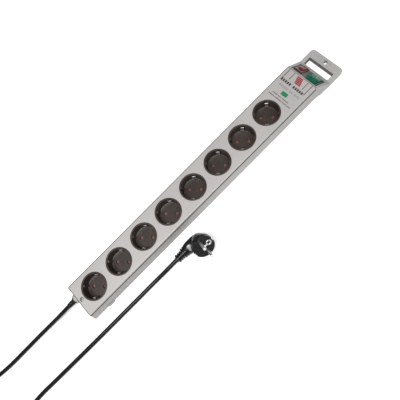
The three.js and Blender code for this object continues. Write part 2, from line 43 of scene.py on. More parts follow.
# ---- sizes that the CAD model also uses, in millimetres ----
TOP = 39.0
HALF_WIDTH = 29.5
COVER_START, COVER_END, COVER_UNDER, COVER_ROUND = -273.5, 222.2, 36.6, 2.0
PITCH = 54.75
SOCKET_X = [-239.6 + PITCH * i for i in range(8)]
SOCKET_TURN = -math.pi / 4
COVER_HOLE_R = 22.3
COLLAR_R, RECESS_R, RECESS_FLOOR, CUP_R, CUP_UNDER = 22.0, 19.5, 21.6, 21.2, 19.1
PIN_SPACING, PIN_R, PIN_HOLE_R = 19.0, 2.4, 2.6
SLOPE_START, SLOPE_END, HANDLE_TOP = 222.5, 257.0, 9.0
SLOPE_ANGLE = math.atan2(TOP - HANDLE_TOP, SLOPE_END - SLOPE_START)
POCKET_DEPTH = 2.4
SWITCH_S, SWITCH_Y, SWITCH_LENGTH, SWITCH_WIDTH = 22.0, -11.75, 31.0, 24.5
PIVOT_DEPTH, ROCKER_TILT = -3.5, math.radians(9)
LAMP_S, LAMP_Y, LAMP_LENGTH, LAMP_WIDTH = 26.5, 16.1, 28.0, 15.4
WINDOW_START, WINDOW_END, WINDOW_Y = 257.6, 272.0, 25.0
FACE_SCREW = (-267.2, -1.0)
BASE_SCREWS = [(SOCKET_X[i] + PITCH / 2, y) for i in (0, 6) for y in (-20.6, 20.6)]
FEET = [(-236, -19), (-236, 19), (222, -19), (222, 19)]
CORD_D = 7.2
GLAND_Y, GLAND_Z, GLAND_TIP, GLAND_R = 13.9, 17.0, -300.0, 5.6
COIL_X, COIL_Y = -540.0, -20.0
PLUG_ORIGIN, PLUG_TILT, PLUG_FACE = Vector((-74, -60, 11.2)), math.radians(48), 24.0
PLUG_NECK_Y, EARTH_HOLE_Y = -58.0, 10.0


# ---- camera ----
def make_camera():
    data = bpy.data.cameras.new("camera")
    data.lens, data.sensor_width = 32.371, 36
    data.clip_start, data.clip_end = 0.02, 20
    camera = bpy.data.objects.new("camera", data)
    bpy.context.scene.collection.objects.link(camera)
    place = Vector((-0.03199, -0.18658, 0.57091))
    ahead = (Vector((-0.02725, -0.01782, 0.02)) - place).normalized()
    roll = math.radians(-43.648)
    level = ahead.cross(Vector((0, 0, 1))).normalized()
    rise = level.cross(ahead)
    right = level * math.cos(roll) + rise * math.sin(roll)
    up = rise * math.cos(roll) - level * math.sin(roll)
    camera.matrix_world = Matrix((right, up, -ahead)).transposed().to_4x4()
    camera.location = place
    bpy.context.scene.camera = camera


make_camera()


# ---- materials ----
class Nodes:
    """A material's node tree with short calls for the nodes used here."""

    def __init__(self, name):
        self.material = bpy.data.materials.new(name)
        self.material.use_nodes = True
        self.tree = self.material.node_tree
        self.shader = self.tree.nodes["Principled BSDF"]
        self.place = self.add("ShaderNodeTexCoord").outputs["Object"]

    def add(self, kind, **settings):
        node = self.tree.nodes.new(kind)
        for key, value in settings.items():
            setattr(node, key, value)
        return node

    def link(self, source, target):
        self.tree.links.new(source, target)

    def set(self, **values):
        for key, value in values.items():
            self.shader.inputs[key.replace("_", " ")].default_value = value

    def noise(self, scale, detail=3.0, roughness=0.55, stretch=(1, 1, 1)):
        """Noise whose grains are about 1/scale metres across."""
        mapping = self.add("ShaderNodeMapping")
        mapping.inputs["Scale"].default_value = stretch
        self.link(self.place, mapping.inputs["Vector"])
        node = self.add("ShaderNodeTexNoise")
        node.inputs["Scale"].default_value = scale
        node.inputs["Detail"].default_value = detail
        node.inputs["Roughness"].default_value = roughness
        self.link(mapping.outputs["Vector"], node.inputs["Vector"])
        return node.outputs["Fac"]

    def ramp(self, source, stops):
        """Maps source to colours or greys: stops is [(position, colour or number)]."""
        node = self.add("ShaderNodeValToRGB")
        elements = node.color_ramp.elements
        while len(elements) < len(stops):
            elements.new(0.5)
        for element, (position, value) in zip(elements, stops):
            element.position = position
            colour = value if isinstance(value, tuple) else (value, value, value)
            element.color = (*colour, 1)
        self.link(source, node.inputs["Fac"])
        return node.outputs["Color"]

    def mix(self, factor, first, second, blend="MIX"):
        node = self.add("ShaderNodeMix", data_type="RGBA", blend_type=blend)
        for socket, value in ((node.inputs[0], factor), (node.inputs[6], first), (node.inputs[7], second)):
            if isinstance(value, (int, float)):
                socket.default_value = value
            elif isinstance(value, tuple):
                socket.default_value = (*value, 1)
            else:
                self.link(value, socket)
        return node.outputs[2]

    def bump(self, height, distance_mm, strength=1.0):
        node = self.add("ShaderNodeBump")
        node.inputs["Strength"].default_value = strength
        node.inputs["Distance"].default_value = distance_mm * MM
        self.link(height, node.inputs["Height"])
        self.link(node.outputs["Normal"], self.shader.inputs["Normal"])

    def waves(self, scale, direction, distortion=0.0):
        node = self.add("ShaderNodeTexWave", bands_direction=direction)
        node.inputs["Scale"].default_value = scale
        node.inputs["Distortion"].default_value = distortion
        self.link(self.place, node.inputs["Vector"])
        return node.outputs["Fac"]


def moulded(name, dark, light, rough=(0.35, 0.5), grain=900.0, bump=0.02, patches=25.0, **sockets):
    """Moulded plastic or rubber: slow colour drift, a fine grain in the bump and uneven gloss."""
    n = Nodes(name)
    n.link(n.ramp(n.noise(patches), [(0.3, dark), (0.7, light)]), n.shader.inputs["Base Color"])
    n.link(n.ramp(n.noise(grain * 0.4), [(0.3, rough[0]), (0.7, rough[1])]), n.shader.inputs["Roughness"])
    n.bump(n.noise(grain, 2.0), bump, 0.6)
    n.set(**sockets)
    return n.material


def insert_plastic():
    """Brown-black moulding with painted shade: the colour is darkened towards the recess floor, which takes
    more light than the walls.
    """
    n = Nodes("black_insert")
    base = n.ramp(n.noise(25.0), [(0.3, (0.027, 0.019, 0.016)), (0.7, (0.041, 0.029, 0.023))])
    split = n.add("ShaderNodeSeparateXYZ")
    n.link(n.place, split.inputs["Vector"])
    floor, wall = (RECESS_FLOOR + 0.3) * MM, (RECESS_FLOOR + 1.6) * MM
    # Painted shade: a ramp on height darkens the colour on the recess floor to 0.72 of the walls' tone.
    shade = n.ramp(split.outputs["Z"], [(floor, 0.72), (wall, 1.0)])
    n.link(n.mix(1.0, base, shade, "MULTIPLY"), n.shader.inputs["Base Color"])
    n.link(n.ramp(n.noise(280.0), [(0.3, 0.26), (0.7, 0.4)]), n.shader.inputs["Roughness"])
    n.bump(n.noise(700.0, 2.0), 0.03, 0.6)
    n.set(Specular_IOR_Level=0.4)
    return n.material


def speckled_silver():
    """Silver-grey lacquer with fine dark and warm flecks."""
    n = Nodes("silver_face")
    base = n.ramp(n.noise(14.0), [(0.3, (0.35, 0.339, 0.332)), (0.7, (0.38, 0.368, 0.36))])
    flecks = n.ramp(n.noise(1500.0, 1.0), [(0.36, 0.86), (0.5, 1.0), (0.66, 1.05)])
    warm = n.ramp(n.noise(700.0, 2.0), [(0.4, (1.0, 1.0, 1.0)), (0.72, (1.0, 0.965, 0.955))])
    colour = n.mix(1.0, n.mix(1.0, base, flecks, "MULTIPLY"), warm, "MULTIPLY")
    n.link(colour, n.shader.inputs["Base Color"])
    n.link(n.ramp(n.noise(900.0), [(0.3, 0.4), (0.7, 0.52)]), n.shader.inputs["Roughness"])
    n.bump(n.noise(1300.0, 2.0), 0.02, 0.5)
    n.set(Metallic=0.15)
    return n.material


def metal(name, dark, light, rough=(0.18, 0.32), stretch=(1, 1, 1), scale=600.0):
    n = Nodes(name)
    grain = n.noise(scale, 4.0, stretch=stretch)
    n.link(n.ramp(grain, [(0.25, dark), (0.75, light)]), n.shader.inputs["Base Color"])
    n.link(n.ramp(grain, [(0.3, rough[0]), (0.7, rough[1])]), n.shader.inputs["Roughness"])
    n.bump(grain, 0.008, 0.4)
    n.set(Metallic=1.0)
    return n.material


def glowing_plastic(name, dark, light, glow):
    """Translucent plastic with a faint painted glow from emission in its own colour, which drifts at random.
    """
    n = Nodes(name)
    colour = n.ramp(n.noise(120.0), [(0.3, dark), (0.7, light)])
    n.link(colour, n.shader.inputs["Base Color"])
    n.link(colour, n.shader.inputs["Emission Color"])
    n.link(n.ramp(n.noise(500.0), [(0.3, 0.14), (0.7, 0.24)]), n.shader.inputs["Roughness"])
    n.bump(n.noise(260.0), 0.02, 0.3)
    n.set(Emission_Strength=glow, Coat_Weight=0.2, Coat_Roughness=0.08, Specular_IOR_Level=0.35)
    return n.material


def woven(name, dark, light):
    n = Nodes(name)
    cross = n.mix(0.5, n.waves(450.0, "X"), n.waves(450.0, "Y"))
    n.link(n.ramp(cross, [(0.2, dark), (0.8, light)]), n.shader.inputs["Base Color"])
    n.bump(cross, 0.12, 0.8)
    n.set(Roughness=0.85)
    return n.material


def printed(name, colour, shade):
    """Ink on lacquer: nearly even, a little broken up."""
    n = Nodes(name)
    n.link(n.ramp(n.noise(1500.0), [(0.35, shade), (0.65, colour)]), n.shader.inputs["Base Color"])
    n.link(n.ramp(n.noise(800.0), [(0.3, 0.45), (0.7, 0.6)]), n.shader.inputs["Roughness"])
    return n.material


def floor_paper():
    """White paper on a light table, so shadows on it stay faint."""
    n = Nodes("floor_paper")
    colour = n.ramp(n.noise(3.0), [(0.3, (0.86, 0.86, 0.86)), (0.7, (0.88, 0.88, 0.88))])
    n.link(colour, n.shader.inputs["Base Color"])
    n.link(colour, n.shader.inputs["Emission Color"])
    n.set(Roughness=0.95, Emission_Strength=0.2, Specular_IOR_Level=0.1)
    return n.material


SILVER = speckled_silver()
GREY = moulded("grey_housing", (0.285, 0.281, 0.273), (0.325, 0.32, 0.311), (0.42, 0.55), 1400.0, 0.03)
GREY_RIB = moulded("grey_ribbed_grip", (0.33, 0.325, 0.316), (0.375, 0.37, 0.36), (0.45, 0.6), 1400.0, 0.03)
BLACK = insert_plastic()
PLUG_BLACK = moulded("black_plug", (0.006, 0.0062, 0.0066), (0.013, 0.0132, 0.014), (0.2, 0.34),
                     800.0, 0.03, Specular_IOR_Level=0.28)
# Painted highlight: the light grey of the pad on the plug's neck.
PLUG_PAD_HIGHLIGHT = moulded("plug_pad_highlight", (0.22, 0.222, 0.225), (0.3, 0.302, 0.305), (0.2, 0.3), 900.0, 0.02)
GREEN_CASE = moulded("green_bezel", (0.006, 0.024, 0.017), (0.012, 0.04, 0.028), (0.2, 0.34), 900.0, 0.02)
RED_CASE = moulded("red_bezel", (0.045, 0.013, 0.011), (0.075, 0.02, 0.017), (0.18, 0.3), 900.0, 0.02)
VINYL = moulded("black_vinyl", (0.004, 0.004, 0.0045), (0.009, 0.009, 0.0095), (0.13, 0.19), 500.0, 0.02,
                Specular_IOR_Level=0.26)
# Painted shade: the dark sheet in the slope's pocket.
POCKET_SHADE = moulded("painted_pocket_shade", (0.085, 0.08, 0.074), (0.115, 0.108, 0.1), (0.4, 0.55), 900.0, 0.02)
# Painted shade: the dark strip on the cover's far and end edges.
EDGE_SHADE = moulded("painted_edge_shade", (0.022, 0.021, 0.02), (0.035, 0.033, 0.031), (0.5, 0.65))
RUBBER = moulded("black_rubber", (0.016, 0.016, 0.017), (0.035, 0.035, 0.036), (0.6, 0.75), 600.0, 0.04)
# Painted shade: the dark sheet on the handle window's walls.
WINDOW_SHADE = moulded("painted_window_shade", (0.05, 0.05, 0.047), (0.07, 0.07, 0.066), (0.5, 0.6))
SHUTTER = moulded("brown_shutter", (0.1, 0.036, 0.03), (0.15, 0.055, 0.045), (0.3, 0.45), 700.0, 0.02)
CREAM = moulded("cream_clamp", (0.6, 0.57, 0.48), (0.68, 0.65, 0.57), (0.4, 0.5))
BOARD = moulded("circuit_board", (0.02, 0.1, 0.04), (0.05, 0.17, 0.08), (0.3, 0.5), 300.0, 0.03)
EPOXY = moulded("blue_epoxy", (0.02, 0.06, 0.25), (0.04, 0.1, 0.35), (0.2, 0.35), 200.0, 0.05)
CERAMIC = moulded("white_ceramic", (0.7, 0.69, 0.65), (0.8, 0.79, 0.76), (0.5, 0.6))
BROWN_WIRE = moulded("brown_lead", (0.12, 0.05, 0.025), (0.17, 0.075, 0.04), (0.35, 0.45))
BLUE_WIRE = moulded("blue_lead", (0.02, 0.09, 0.32), (0.04, 0.14, 0.42), (0.35, 0.45))
NICKEL = metal("nickel_contact", (0.8, 0.79, 0.77), (0.92, 0.91, 0.9), (0.3, 0.44))
ZINC = metal("zinc_screw", (0.2, 0.2, 0.2), (0.3, 0.3, 0.295), (0.42, 0.56))
BRASS = metal("brass_bar", (0.62, 0.42, 0.16), (0.78, 0.56, 0.26), (0.25, 0.4), (0.1, 1, 1))
# These two carry a faint painted glow.
GREEN_GLOW = glowing_plastic("green_rocker", (0.0, 0.066, 0.038), (0.0, 0.1, 0.056), 0.06)
RED_GLOW = glowing_plastic("red_lens", (0.085, 0.014, 0.012), (0.135, 0.023, 0.02), 0.07)
MARK_WHITE = printed("rocker_mark", (0.3, 0.5, 0.4), (0.24, 0.42, 0.33))
INK_DARK = printed("ink_dark", (0.018, 0.018, 0.017), (0.035, 0.034, 0.033))
INK_GREY = printed("ink_grey", (0.2, 0.196, 0.194), (0.25, 0.245, 0.24))
INK_RED = printed("ink_red", (0.2, 0.008, 0.014), (0.26, 0.02, 0.026))
INK_GREEN = printed("ink_green", (0.0, 0.12, 0.045), (0.01, 0.16, 0.065))
STRAP = woven("woven_strap", (0.012, 0.012, 0.013), (0.045, 0.045, 0.047))


# ---- mesh kit, in millimetres ----
def make(name, shapes, material, body="strip", place=None, smooth=32, bevel=None):
    """One piece from (vertices, faces) shapes, riding on a body. place is its frame, in millimetres."""
    built = bmesh.new()
    for vertices, faces in shapes if isinstance(shapes, list) else [shapes]:
        made = [built.verts.new(Vector(v) * MM) for v in vertices]
        for face in faces:
            built.faces.new([made[i] for i in face])
    bmesh.ops.recalc_face_normals(built, faces=built.faces)
    mesh = bpy.data.meshes.new(name)
    built.to_mesh(mesh)
    built.free()
    return piece(name, mesh, material, body, place, smooth, bevel)


def piece(name, mesh, material, body="strip", place=None, smooth=32, bevel=None):
    mesh.shade_smooth()
    mesh.set_sharp_from_angle(angle=math.radians(smooth))
    if material:
        mesh.materials.clear()
        mesh.materials.append(material)
    if place is not None:
        matrix = place.copy()
        matrix.translation *= MM
        mesh.transform(matrix)
    obj = bpy.data.objects.new(name, mesh)
    bpy.context.scene.collection.objects.link(obj)
    if bevel:
        soften(obj, bevel)
    if body:
        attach(obj, body)
    return obj


def soften(obj, width, angle=35, segments=3):
    """Rounds an object's sharp edges by width, in millimetres."""
    modifier = obj.modifiers.new("soft_edges", "BEVEL")
    modifier.width = width * MM
    modifier.segments = segments
    modifier.limit_method = "ANGLE"
    modifier.angle_limit = math.radians(angle)
    modifier.harden_normals = False
    weighted = obj.modifiers.new("even_normals", "WEIGHTED_NORMAL")
    weighted.keep_sharp = True


def carve(obj, cutters, operation="DIFFERENCE"):
    """Cuts the other objects out of obj, or adds them to it, and leaves a plain mesh."""
    for cutter in cutters:
        modifier = obj.modifiers.new("carve", "BOOLEAN")
        modifier.operation, modifier.solver, modifier.object = operation, "EXACT", cutter
    bpy.context.view_layer.update()
    found = obj.evaluated_get(bpy.context.evaluated_depsgraph_get())
    mesh = bpy.data.meshes.new_from_object(found)
    obj.modifiers.clear()
    obj.data = mesh
    for cutter in cutters:
        bpy.data.objects.remove(cutter)
    return obj


def tool(shapes, place=None):
    """A shape for carve(), which rides on nothing."""
    return make("tool", shapes, None, body=None, place=place)


def loft(loops, caps=(True, True), closed=False):
    """Joins loops of equal length. caps closes the first and the last."""
    count = len(loops[0])
    vertices = [tuple(p) for loop in loops for p in loop]
    rows = len(loops)
    faces = []
    for k in range(rows if closed else rows - 1):
        low, high = k * count, (k + 1) % rows * count
        for i in range(count):
            j = (i + 1) % count
            faces.append([low + i, low + j, high + j, high + i])
    if not closed:
        if caps[0]:
            faces.append(list(range(count))[::-1])
        if caps[1]:
            faces.append([(rows - 1) * count + i for i in range(count)])
    return vertices, faces


def circle(radius, z=0.0, sides=64, x=0.0, y=0.0):
    step = 2 * math.pi / sides
    return [(x + radius * math.cos(i * step), y + radius * math.sin(i * step), z) for i in range(sides)]


def lathe(profile, sides=64, closed=False):
    """Turns (radius, height) points about Z. A point on the axis becomes one vertex."""
    vertices, rings, faces = [], [], []
    for radius, z in profile:
        start = len(vertices)
        if radius < 1e-6:
            vertices.append((0, 0, z))
            rings.append([start] * sides)
        else:
            vertices += circle(radius, z, sides)
            rings.append(list(range(start, start + sides)))
    pairs = list(zip(rings, rings[1:])) + ([(rings[-1], rings[0])] if closed else [])
    for low, high in pairs:
        for i in range(sides):
            j = (i + 1) % sides
            face = list(dict.fromkeys([low[i], low[j], high[j], high[i]]))
            if len(face) > 2:
                faces.append(face)
    return vertices, faces


def arc(radius, z, centre_r, centre_z, start, end, steps=6):
    """Points of a rounded corner in a lathe profile, angles in degrees."""
    points = []
    for i in range(steps + 1):
        a = math.radians(start + (end - start) * i / steps)
        points.append((centre_r + radius * math.cos(a), centre_z + z * math.sin(a)))
    return points


def rounded(x0, x1, y0, y1, radii, z=0.0, steps=6):
    """A rectangle's loop. radii is one number, or one for each corner from (x1, y1) counter-clockwise."""
    radii = radii if isinstance(radii, (list, tuple)) else [radii] * 4
    signs = [(1, 1), (-1, 1), (-1, -1), (1, -1)]
    loop = []
    for k, ((sx, sy), r) in enumerate(zip(signs, radii)):
        cx, cy = (x1 if sx > 0 else x0) - sx * r, (y1 if sy > 0 else y0) - sy * r
        for i in range(steps + 1):
            a = math.radians(90 * k + 90 * i / steps)
            loop.append((cx + r * math.cos(a), cy + r * math.sin(a), z))
    return loop


def sheet_with_holes(outer, holes):
    """A flat face bounded by a loop, with holes in it."""
    loops = [[Vector(p) for p in loop] for loop in [outer] + holes]
    vertices = [tuple(p) for loop in loops for p in loop]
    return vertices, [list(t) for t in tessellate_polygon(loops)]


def weld(shapes):
    """One shape from several that share border points."""
    vertices, faces, index = [], [], {}
    for points, polygons in shapes:
        lookup = []
        for p in points:
            key = tuple(round(c, 4) for c in p)
            if key not in index:
                index[key] = len(vertices)
                vertices.append(p)
            lookup.append(index[key])
        for polygon in polygons:
            face = list(dict.fromkeys(lookup[i] for i in polygon))
            if len(face) > 2:
                faces.append(face)
    return vertices, faces


def block(xs, ys, zs, radius=0.0, edge=0.0, steps=4):
    """A box with rounded upright corners and softened top and bottom edges."""
    (x0, x1), (y0, y1), (z0, z1) = xs, ys, zs
    loops = []
    turns = [math.radians(90 * i / 3) for i in range(4)] if edge else [math.pi / 2]
    low = [(edge * (1 - math.sin(t)), z0 + edge * (1 - math.cos(t))) for t in turns]
    high = [(edge * (1 - math.sin(t)), z1 - edge * (1 - math.cos(t))) for t in reversed(turns)]
    for inset, z in low + high:
        r = max(radius - inset, 0.05)
        loops.append(rounded(x0 + inset, x1 - inset, y0 + inset, y1 - inset, r, z, steps))
    return loft(loops)


def prism_along_y(outline, y0, y1):
    """An (x, z) outline extruded along Y."""
    return loft([[(x, y0, z) for x, z in outline], [(x, y1, z) for x, z in outline]])


def smooth_path(points, step):
    """Points about step apart on a centripetal curve through the given ones."""
    points = [Vector(p) for p in points]
    points = [points[0] * 2 - points[1]] + points + [points[-1] * 2 - points[-2]]
    path = []
    for a, b, c, d in zip(points, points[1:], points[2:], points[3:]):
        t1 = (b - a).length ** 0.5
        t2 = t1 + (c - b).length ** 0.5
        t3 = t2 + (d - c).length ** 0.5
        count = max(1, round((c - b).length / step))
        for i in range(count):
            t = t1 + (t2 - t1) * i / count
            p, q, r = (a * (t1 - t) + b * t) / t1, (b * (t2 - t) + c * (t - t1)) / (t2 - t1), \
                (c * (t3 - t) + d * (t - t2)) / (t3 - t2)
            u, v = (p * (t2 - t) + q * t) / t2, (q * (t3 - t) + r * (t - t1)) / (t3 - t1)
            path.append((u * (t2 - t) + v * (t - t1)) / (t2 - t1))
    return path + [points[-2]]


# ---- the cord ----
STRIP_RUN = [
    (-293, 13.9, 17), (-300.3, 13.9, 17), (-308, 14, 16.4), (-322, 14.9, 13), (-338, 16.6, 8),
    (-356, 18, 4.6), (-376, 18.4, 3.7), (-410, 18.2, 3.7), (-445, 18.3, 3.7), (-470, 20.2, 3.7),
    (-492, 24, 3.7), (-510.4, 26.9, 3.7),
]
PLUG_RUN = [
    (-510.4, -67.4, 9.4), (-495, -65.4, 7.4), (-476, -61.4, 5), (-455, -57.2, 3.9), (-432, -54.6, 3.7),
    (-390, -55, 3.7), (-340, -55.7, 3.7), (-290, -56.1, 3.7), (-240, -56.2, 3.7), (-205, -56.3, 3.8),
    (-184, -56.3, 4.1), (-166, -56.8, 5.6), (-150, -57.5, 8), (-136, -57.9, 10.2),
    (-122.3, PLUG_NECK_Y, 11.2), (-114, PLUG_NECK_Y, 11.2),
]


def coil_points():
    """Two layers of turns: inwards on the floor, then outwards on top of the first layer."""
    outer, inner, sweep, rise = 48.5, 28.5, 960.0, 60.0
    low, high = 3.7, 10.9
    points = []
    turned, step = 15.0, 15.0
    while turned < 2 * sweep + rise:
        if turned <= sweep:
            share, z = turned / sweep, low
        elif turned < sweep + rise:
            share, z = 1.0, low + (high - low) * (1 - math.cos(math.pi * (turned - sweep) / rise)) / 2
        else:
            share, z = (2 * sweep + rise - turned) / sweep, high
        radius = outer + (inner - outer) * share
        angle = math.radians(90 + turned)
        over_tie = (90 + turned) % 360 - 180
        z += 1.15 * math.exp(-(over_tie / 14.0) ** 2)
        points.append((COIL_X + radius * math.cos(angle), COIL_Y + radius * math.sin(angle), z))
        turned += step
    return points


def make_cord():
    line = smooth_path(STRIP_RUN + coil_points() + PLUG_RUN, 3.5)
    curve = bpy.data.curves.new("mains_cord", "CURVE")
    curve.dimensions = "3D"
    curve.bevel_depth = CORD_D / 2 * MM
    curve.bevel_resolution = 4
    curve.use_fill_caps = True
    spline = curve.splines.new("POLY")
    spline.points.add(len(line) - 1)
    for point, place in zip(spline.points, line):
        point.co = (*(place * MM), 1)
    curve.materials.append(VINYL)
    cord = bpy.data.objects.new("mains_cord", curve)
    bpy.context.scene.collection.objects.link(cord)
    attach(cord, "strip")
    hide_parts("cord_strip_run", "cord_coil", "cord_plug_run")
    return cord, line


CORD, CORD_LINE = make_cord()


# ---- front cover ----
def cover_loop(inset, z):
    end = min(inset, 0.35)
    corner = max(2.0 - inset, 0.4)
    return rounded(COVER_START + inset, COVER_END - end, -HALF_WIDTH + inset, HALF_WIDTH - inset,
                   [max(0.6 - inset, 0.1), corner, corner, max(0.6 - inset, 0.1)], z, 5)


def make_cover():
    steps = 7
    side = [(0.3, COVER_UNDER), (0.0, COVER_UNDER + 0.3)]
    for i in range(steps + 1):
        a = math.radians(180 - 90 * i / steps)
        side.append((COVER_ROUND * (1 + math.cos(a)), TOP - COVER_ROUND * (1 - math.sin(a))))
    side.append((COVER_ROUND + 0.4, TOP))
    wall = loft([cover_loop(inset, z) for inset, z in side], (False, False))
    hole_r, holes_top, holes_under, hole_walls = COVER_HOLE_R, [], [], []
    for x in SOCKET_X:
        profile = [(hole_r + 0.45, TOP), (hole_r + 0.25, TOP), (hole_r + 0.07, TOP - 0.08),
                   (hole_r, TOP - 0.25), (hole_r, COVER_UNDER)]
        rings = [circle(r, z, 96, x) for r, z in profile]
        hole_walls.append(loft(rings, (False, False)))
        holes_top.append(rings[0])
        holes_under.append(rings[-1])
    sx, sy = FACE_SCREW
    seat = [(3.75, TOP), (3.65, TOP), (3.5, TOP - 0.15), (3.5, TOP - 1.8)]
    rings = [circle(r, z, 40, sx, sy) for r, z in seat]
    hole_walls.append(loft(rings, (False, True)))
    top = sheet_with_holes(cover_loop(COVER_ROUND + 0.4, TOP), holes_top + [rings[0]])
    under = sheet_with_holes(cover_loop(0.3, COVER_UNDER), holes_under)
    shape = weld([wall, top, under] + hole_walls)
    cover = make("face_cover", shape, SILVER, smooth=40)
    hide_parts("front_cover")


make_cover()


def make_gap_shade_band():
    """Painted shade: a dark band filling the gap under the cover, where the gap's shadow falls."""
    outer, inner = (-274.1, 222.1, -30.0, 30.0), (-272.65, 221.4, -27.75, 27.75)
    loops = []
    for (x0, x1, y0, y1), z in ((outer, 33.65), (outer, 36.55), (inner, 36.55), (inner, 33.65)):
        loops.append(rounded(x0, x1, y0, y1, 0.3, z, 3))
    # The black rubber band paints the shadow in the gap under the cover.
    make("cover_gap_shade_band", loft(loops, closed=True), RUBBER)


make_gap_shade_band()


def make_cover_edge_shade():
    """Painted shade: a dark strip along the cover's long +Y edge and its cord end, where the rounded edge
    lies in shade.
    """
    side = block((-272.6, 222.0), (28.75, 29.8), (36.7, 38.45), 0.3, 0.25)
    end = block((-273.8, -272.75), (-27.4, 29.4), (36.7, 38.45), 0.3, 0.25)
    make("cover_edge_shade", [side, end], EDGE_SHADE)


make_cover_edge_shade()


# ---- printed marks on the face: generic bars and blocks ----
PRINT_LOW, PRINT_HIGH = TOP - 0.02, TOP + 0.05


def bar(x0, x1, y0, y1, radius=0.15):
    return loft([rounded(x0, x1, y0, y1, radius, z, 3) for z in (PRINT_LOW, PRINT_HIGH)])


def block_row(x, y_start, groups, height, width, gap, word_gap):
    """A row of plain upright blocks in groups, which stands for a line of print. It runs along -Y."""
    shapes, y = [], y_start
    for count in groups:
        for _ in range(count):
            shapes.append(bar(x - height / 2, x + height / 2, y - width, y, min(0.3, width / 3)))
            y -= width + gap
        y -= word_gap
    return shapes


def make_prints():
    dark = block_row(201.6, 23.7, (5, 5), 4.6, 3.0, 1.2, 3.6)
    dark += block_row(176.4, 17.6, (6, 4, 8), 1.5, 1.3, 0.35, 1.2)
    dark += block_row(171.6, 22.2, (7, 9, 5, 4), 1.5, 1.3, 0.35, 1.1)
    dark += [bar(207.0, 221.0, y - 0.5, y + 0.5) for y in (12.6, -14.6)]
    dark += [bar(201.0, 221.6, y - 0.55, y + 0.55) for y in (22.9, -22.9)]
    make("print_dark", dark, INK_DARK)
    make("print_grey", block_row(192.6, 19.5, (5, 2, 3), 3.4, 2.8, 1.0, 2.2), INK_GREY)
    red = []
    for k in range(5):
        x, y = 219.3 - 2.6 * k, 0.2 - 0.8 * k
        red.append(bar(x - 1.1, x + 1.1, y - 5.6, y + 5.6, 0.5))
    make("print_red", red, INK_RED)
    green = [bar(180.4, 187.2, -5.4, 6.0, 1.2)]
    make("print_green", green, INK_GREEN)


make_prints()


# ---- socket inserts ----
def insert_mesh():
    """One insert, its pins along X: a collar, a round recess, keys, holes and slots."""
    lip = arc(0.5, 0.5, RECESS_R + 0.75, TOP - 0.5, 180, 90, 5)
    rim = arc(0.5, 0.5, COLLAR_R - 0.5, TOP - 0.5, 90, 0, 5)
    profile = [(0, RECESS_FLOOR), (17.9, RECESS_FLOOR)]
    profile += arc(1.2, 1.2, 17.9, RECESS_FLOOR + 1.2, 270, 360, 6)[1:]
    profile += [(RECESS_R + 0.1, 28.0)] + lip + [(COLLAR_R - 1.0, TOP)] + rim
    profile += [(COLLAR_R, 33.4), (CUP_R, 33.3), (CUP_R, CUP_UNDER), (0, CUP_UNDER)]
    insert = tool(lathe(profile, 128))
    keys = []
    for end in (-1, 1):
        key = block((17.6, 20.4), (-2.2, 2.2), (RECESS_FLOOR - 1, TOP - 2.5), 0.5, 0.45)
        turned = Matrix.Rotation(0 if end > 0 else math.pi, 4, "Z")
        keys.append(tool(key, turned))
    carve(insert, keys, "UNION")
    cutters = []
    for end in (-1, 1):
        hole = [(0, CUP_UNDER - 1), (PIN_HOLE_R, CUP_UNDER - 1), (PIN_HOLE_R, RECESS_FLOOR - 0.45),
                (PIN_HOLE_R + 0.45, RECESS_FLOOR), (PIN_HOLE_R + 0.9, RECESS_FLOOR + 0.45),
                (0, RECESS_FLOOR + 0.45)]
        cutters.append(tool(lathe(hole, 40), Matrix.Translation((end * PIN_SPACING / 2, 0, 0))))
        slot = block((-3.5, 3.5), (17.2, 20.6), (RECESS_FLOOR - 0.2, 35.2), 0.3)
        foot = block((-3.5, 3.5), (17.2, 19.2), (CUP_UNDER - 1, RECESS_FLOOR + 1), 0.3)
        turned = Matrix.Rotation(0 if end > 0 else math.pi, 4, "Z")
        cutters += [tool(slot, turned), tool(foot, turned)]
    carve(insert, cutters)
    # A shallow step round the middle of the floor, and a small centre dimple.
    step = lathe([(13.9, RECESS_FLOOR - 0.25), (14.5, RECESS_FLOOR - 0.25), (14.5, RECESS_FLOOR + 1),
                  (13.9, RECESS_FLOOR + 1)], 96, closed=True)
    dimple = lathe([(0, RECESS_FLOOR - 0.7), (1.1, RECESS_FLOOR - 0.7), (1.5, RECESS_FLOOR + 1),
                    (0, RECESS_FLOOR + 1)], 32)
    carve(insert, [tool(step), tool(dimple)])
    mesh = insert.data
    bpy.data.objects.remove(insert)
    mesh.name = "socket_insert_shape"
    return mesh


def clip_mesh():
    """The springy earth strap: down one wall, under the floor and up the other."""
    nose = [(18.3, 35.0), (17.7, 34.6), (17.3, 33.6), (16.7, 31.6), (16.25, 30.2), (16.2, 29.4),
            (16.6, 28.0), (17.4, 26.2), (17.95, 24.6), (18.05, 23.0), (18.05, 16.6), (17.6, 16.0),
            (16.8, 15.8)]
    centre = nose + [(-r, z) for r, z in reversed(nose)]
    thickness, half_width = 0.7, 2.7
    outer, inner = [], []
    for k, (r, z) in enumerate(centre):
        before, after = centre[max(k - 1, 0)], centre[min(k + 1, len(centre) - 1)]
        tangent = Vector((after[0] - before[0], after[1] - before[1])).normalized()
        normal = Vector((-tangent.y, tangent.x)) * thickness / 2
        outer.append((r + normal.x, z + normal.y))
        inner.append((r - normal.x, z - normal.y))
    return prism_along_y(outer + inner[::-1], -half_width, half_width)


